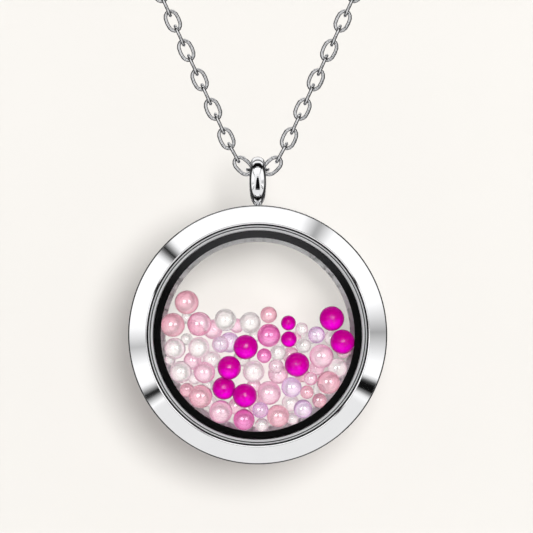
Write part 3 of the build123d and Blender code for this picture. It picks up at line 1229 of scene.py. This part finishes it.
@dataclass(frozen=True)
class Gap:
    """A darker gap in the ring of soft light round the camera, by degrees anticlockwise from the right."""

    angle: float
    half_width: float
    level: float
    core: float = 0.0


@dataclass(frozen=True)
class Patch:
    """A patch of the room with its own level, by its degrees off the camera's axis and from the top."""

    off_axis: float
    reach: float
    turn: float
    turn_reach: float
    level: float


@dataclass(frozen=True)
class Lamp:
    """A soft oval lamp that faces the back, by its place from the locket's middle, in metres."""

    name: str
    place: Triple
    size: Pair
    glow: float
    colour: Colour = (1.0, 1.0, 1.0)


@dataclass
class Studio:
    """The camera, the pale floor and backdrop, and the soft light."""

    aim: Vector
    locket: Vector
    distance: float = 0.6
    frame_width: float = 61.6
    sensor_width: float = 36.0
    clipping: Pair = (0.01, 10.0)
    paper: PaperFinish = PaperFinish("pale_paper", (0.534, 0.521, 0.500))
    backdrop_size: float = 0.72
    backdrop_place: Triple = (0.0, 0.038, -0.12)
    floor_size: float = 1.2
    floor_place: Triple = (0.0, 0.0, -0.40)
    far_colour: Colour = (0.93, 0.91, 0.87)
    strength: float = 1.3
    ring_level: float = 1.2
    ring_low_level: float = 0.93
    ring_low_ends: Pair = (217.0, 325.0)
    gaps: tuple[Gap, ...] = (
        Gap(0.0, 14.0, 0.45),
        Gap(60.0, 8.0, 0.42),
        Gap(138.0, 5.0, 0.01, core=0.6),
        Gap(187.0, 9.0, 0.60),
        Gap(210.0, 5.0, 0.01, core=0.8),
        Gap(333.5, 5.0, 0.005, core=2.4),
    )
    ring_shares: tuple[Pair, ...] = ((20.0, 0.0), (26.0, 1.0), (44.0, 1.0), (50.0, 0.0))
    depth_levels: tuple[Pair, ...] = (
        (0.0, 0.85), (10.0, 1.0), (50.0, 1.0), (56.0, 0.03), (97.0, 0.05),
        (104.0, 0.09), (145.0, 0.09), (155.0, 0.8), (180.0, 0.9),
    )
    patches: tuple[Patch, ...] = (
        Patch(57.0, 12.0, 0.0, 38.0, 0.004),
        Patch(77.5, 8.5, 0.0, 38.0, 0.8),
        Patch(122.0, 24.0, 0.0, 38.0, 0.8),
        Patch(66.0, 14.0, 180.0, 40.0, 0.6),
        Patch(54.0, 4.5, 180.0, 8.0, 0.004),
    )
    stand_level: float = 0.004
    stand_half_width: float = 0.156
    stand_taper: float = -0.305
    stand_middle: float = -0.083
    stand_half_height: float = 0.313
    key: Lamp = Lamp("shadow_key", (0.058, -0.9, 0.050), (0.17, 0.17), 152.5)
    vivid_catches: tuple[Lamp, ...] = (Lamp("catch_light", (0.03, -0.6, 0.12), (0.40, 0.38), 15.0),)
    pale_catches: tuple[Lamp, ...] = (
        Lamp("catch_light", (-0.27, -0.6, 0.12), (0.40, 0.38), 7.5),
        Lamp("catch_light", (0.27, -0.6, 0.12), (0.40, 0.38), 4.5),
    )
    window_lamps: tuple[Lamp, ...] = (
        Lamp("window_light", (0.001, 0.031, -0.004), (0.024, 0.024), 0.03),
        Lamp("bead_bed_light", (0.0, 0.033, -0.005), (0.020, 0.009), 0.8, (1.0, 0.64, 0.79)),
    )
    rim_angles: tuple[float, ...] = (6.0, 28.0, 50.0, 80.0)
    rim_radius: float = 9.4
    rim_y: float = 0.035
    rim_size: Pair = (0.005, 0.005)
    rim_glow: float = 0.9

    def camera(self) -> None:
        """Set the camera straight on at the picture's own height."""
        lens = bpy.data.cameras.new("picture_camera")
        lens.sensor_width = self.sensor_width
        lens.lens = self.sensor_width * self.distance / (self.frame_width * MM)
        lens.clip_start, lens.clip_end = self.clipping
        camera = bpy.data.objects.new("picture_camera", lens)
        camera.location = (self.aim.x, self.aim.y - self.distance, self.aim.z)
        camera.rotation_euler = UPRIGHT
        bpy.context.scene.collection.objects.link(camera)
        bpy.context.scene.camera = camera

    def papers(self) -> None:
        """Hang the backdrop and lay the floor, with the light that the locket gathers behind it."""
        material = self.paper.made()
        sheets = {}
        for name, size, place, turn in (
            ("pale_backdrop", self.backdrop_size, self.backdrop_place, UPRIGHT),
            ("pale_floor", self.floor_size, self.floor_place, (0, 0, 0)),
        ):
            clear_selection()
            bpy.ops.mesh.primitive_plane_add(size=size, location=place, rotation=turn)
            piece = sheets[name] = started(name)
            bpy.ops.mesh.subdivide(number_cuts=3)
            bpy.ops.object.mode_set(mode="OBJECT")
            piece.visible_glossy = False
            piece.data.materials.append(material)
        backdrop = sheets["pale_backdrop"]
        for lamp in self.window_lamps:
            self.hang(lamp, [backdrop])
        for angle in map(math.radians, self.rim_angles):
            x, z = self.rim_radius * math.cos(angle) * MM, self.rim_radius * math.sin(angle) * MM
            self.hang(Lamp("window_rim_light", (x, self.rim_y, z), self.rim_size, self.rim_glow), [backdrop])

    def hang(self, lamp: Lamp, lit: Sequence[Object] = ()) -> Object:
        """Hang a lamp that the camera doesn't see.

        Args:
            lamp: The lamp.
            lit: The only pieces that it lights, or none where it lights them all.

        Returns:
            The lamp's object.
        """
        width, height = lamp.size
        source = bpy.data.lights.new(lamp.name, "AREA")
        source.shape = "ELLIPSE"
        source.size, source.size_y = width, height
        source.energy = lamp.glow * math.pi * math.pi * width * height / 4
        source.color = lamp.colour
        light = bpy.data.objects.new(lamp.name, source)
        light.location = self.locket + Vector(lamp.place)
        light.rotation_euler = UPRIGHT
        light.visible_camera = False
        light.visible_transmission = False
        if lit:
            pieces = bpy.data.collections.new(f"lit_by_{lamp.name}")
            for piece in lit:
                pieces.objects.link(piece)
            light.light_linking.receiver_collection = pieces
        bpy.context.scene.collection.objects.link(light)
        return light

    def catch_lights(self, beads: Sequence[Object], lamps: Sequence[Lamp]) -> None:
        """Hang the lamps beside the camera that give these beads alone their sparkle."""
        for lamp in lamps:
            self.hang(lamp, beads).visible_diffuse = False

    @staticmethod
    def from_bottom(angle: float) -> float:
        """Degrees clockwise from the bottom, for degrees anticlockwise from the right."""
        return (270.0 - angle) % 360

    def ring_stops(self) -> list[Pair]:
        """Work out the levels of the ring of light.

        Returns:
            The levels by their place round the ring, which starts and ends at the bottom.
        """
        levels = dict.fromkeys((0.0, 360.0, *map(self.from_bottom, self.ring_low_ends)), self.ring_low_level)
        for gap in self.gaps:
            middle = self.from_bottom(gap.angle)
            for side in (-1, 1):
                levels[middle + side * gap.core] = gap.level
                levels.setdefault(middle + side * gap.half_width, self.ring_level)
        return [(place / 360.0, levels[place] / self.strength) for place in sorted(levels)]

    def room_level(self, room: Nodes) -> NodeSocket:
        """How bright the room is: a ring of soft light round the camera, dark at the sides, pale behind.

        Args:
            room: The world's nodes.

        Returns:
            The level in each direction, as a grey.
        """
        split = room.add("SeparateXYZ", Vector=room.add("TexCoord").outputs["Generated"]).outputs
        across, up = split["X"], split["Z"]
        toward = room.sum("MULTIPLY", split["Y"], -1.0)
        off_axis = room.sum("DIVIDE", room.sum("ARCCOSINE", toward), math.pi)
        turn = room.sum("ARCTAN2", across, up)
        ring = room.grey_ramp(room.sum("MULTIPLY_ADD", turn, 0.5 / math.pi, 0.5), self.ring_stops())
        depths = [(degrees / 180, level / self.strength) for degrees, level in self.depth_levels]
        shares = [(degrees / 180, share) for degrees, share in self.ring_shares]
        level = room.mixed(room.grey_ramp(off_axis, shares), room.grey_ramp(off_axis, depths), ring)
        beside = room.sum("ABSOLUTE", room.sum("DIVIDE", across, toward))
        above = room.sum("DIVIDE", up, toward)
        half_width = room.sum("MULTIPLY_ADD", above, self.stand_taper, self.stand_half_width)
        level_with = room.sum("COMPARE", above, self.stand_middle, self.stand_half_height)
        stand = room.sum("MULTIPLY", room.sum("LESS_THAN", beside, half_width), level_with)
        level = room.mixed(stand, level, (self.stand_level,) * 3)
        from_top = room.sum("ABSOLUTE", turn)
        for patch in self.patches:
            within = room.sum("COMPARE", off_axis, patch.off_axis / 180, patch.reach / 180)
            facing = room.sum("COMPARE", from_top, math.radians(patch.turn), math.radians(patch.turn_reach))
            level = room.mixed(room.sum("MULTIPLY", within, facing), level, (patch.level,) * 3)
        return level

    def surroundings(self) -> None:
        """Fill the room with its light, and show the camera a plain pale colour past the backdrop."""
        world = bpy.data.worlds.new("studio")
        bpy.context.scene.world = world
        world.use_nodes = True
        room = Nodes(world.node_tree)
        studio = room.add("Background", Color=self.room_level(room), Strength=self.strength)
        pale = room.add("Background", Color=self.far_colour)
        seen = room.add("LightPath").outputs["Is Camera Ray"]
        room.add("OutputWorld", Surface=room.blended(seen, studio, pale))

    def set_up(self) -> None:
        """Build the whole studio, with the key that throws the shadow from above on the right."""
        bpy.context.scene.view_settings.view_transform = "Standard"
        self.camera()
        self.papers()
        self.hang(self.key).visible_glossy = False
        self.surroundings()


# ---- the necklace


@dataclass
class Necklace:
    """The dressed necklace: it builds each sub-assembly and puts it on its CAD body."""

    nodes: dict[str, Object]
    locket: Vector
    bail_z: float

    def fit(self, piece: Object, body: str, slot: str, material: Material, *replaced: str) -> None:
        """Dress a piece, put it on its body and let it stand for its CAD nodes.

        Args:
            piece: The finished piece.
            body: The CAD body that it rides on.
            slot: The record's material slot; not used.
            material: Its finish.
            *replaced: The CAD nodes that it stands for.
        """
        piece.data.materials.clear()
        piece.data.materials.append(material)
        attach(piece, body)
        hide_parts(*replaced)
        LOG.info("%s: %d faces, on %s", piece.name, len(piece.data.polygons), body)

    def build_locket(self) -> None:
        """Build and dress the case with its bail, the panes and the seal."""
        polished = SteelFinish("mirror_steel").made(self.locket)
        satin = SteelFinish("rear_steel", satin_radius=11.6, rings_per_mm=2.2, ring_depth=0.0015)
        grooved = SteelFinish(
            "turned_steel",
            colour=(0.90, 0.90, 0.91),
            shade=(0.76, 0.76, 0.77),
            roughness=(0.42, 0.55),
            rings_per_mm=2.2,
            ring_depth=0.004,
            # Painted shade in the ring's fine groove and in the gap between the ring and the bezel.
            joints=((12.40, 12.50), (12.655, 12.84)),
        ).made(self.locket)
        case = Case(self.locket)
        bail = Bail(Vector((0, 0, self.bail_z)))
        rear = joined([case.rear_half(), bail.band()], "rear_case_with_bail")
        self.fit(rear, "pendant", "polished_steel", satin.made(self.locket), "base_frame")
        self.fit(case.front_half(), "front", "polished_steel", polished, "front_frame")
        self.fit(case.glass_ring(), "front", "grooved_steel", grooved, "crystal_ring")
        window = Window(self.locket)
        clear = PaneFinish().made()
        self.fit(window.pane(*window.front), "front", "clear_glass", clear, "front_glass")
        self.fit(window.pane(*window.back), "pendant", "clear_glass", clear, "back_glass")
        self.fit(window.seal(), "seal", "black_seal", SealFinish().made(self.locket), "seal_ring")

    def build_beads(self) -> tuple[list[Object], list[Object]]:
        """Build and dress the beads, of which only the vivid ones throw shadows.

        Returns:
            The vivid and the pale beads.
        """
        finishes = {colour: colour.value.made() for colour in BeadColour}
        vivid, pale = [], []
        for node, piece in Beads().strewn(self.nodes).items():
            colour = BeadColour.of(node)
            self.fit(piece, "pendant", f"bead_{colour.name.lower()}", finishes[colour], node)
            piece.visible_shadow = colour.value.vivid
            (vivid if colour.value.vivid else pale).append(piece)
        return vivid, pale

    def build_chain(self) -> None:
        """Build and dress the chain and its clasp, which throw no shadow."""
        steel = SteelFinish("chain_steel_wire", (0.80, 0.80, 0.81), (0.60, 0.60, 0.61)).made(self.locket)
        legs, back = Chain(self.bail_z / MM).laid()
        for piece, node in ((legs, "chain_front"), (back, "chain_back"), (Clasp().made(), "clasp")):
            self.fit(piece, "necklace", "chain_steel", steel, node)
            piece.visible_shadow = False


def main() -> None:
    """Set up the studio and dress the necklace."""
    logging.basicConfig(level=logging.INFO, format="%(name)s: %(message)s")
    low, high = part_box("front_frame")
    rear_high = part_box("base_frame")[1]
    locket = Vector((0, (low.y + rear_high.y) / 2, (low.z + high.z) / 2))
    bail_z = next(joint["pos_m"][2] for joint in frame["joints"] if joint["name"] == "pendant_swing")
    across, up = PICTURE_MIDDLE
    studio = Studio(Vector((across * MM, low.y, up * MM)), locket)
    studio.set_up()
    necklace = Necklace(frame["nodes"], locket, bail_z)
    necklace.build_locket()
    vivid, pale = necklace.build_beads()
    necklace.build_chain()
    studio.catch_lights(vivid, studio.vivid_catches)
    studio.catch_lights(pale, studio.pale_catches)


if __name__ == "__main__":
    main()
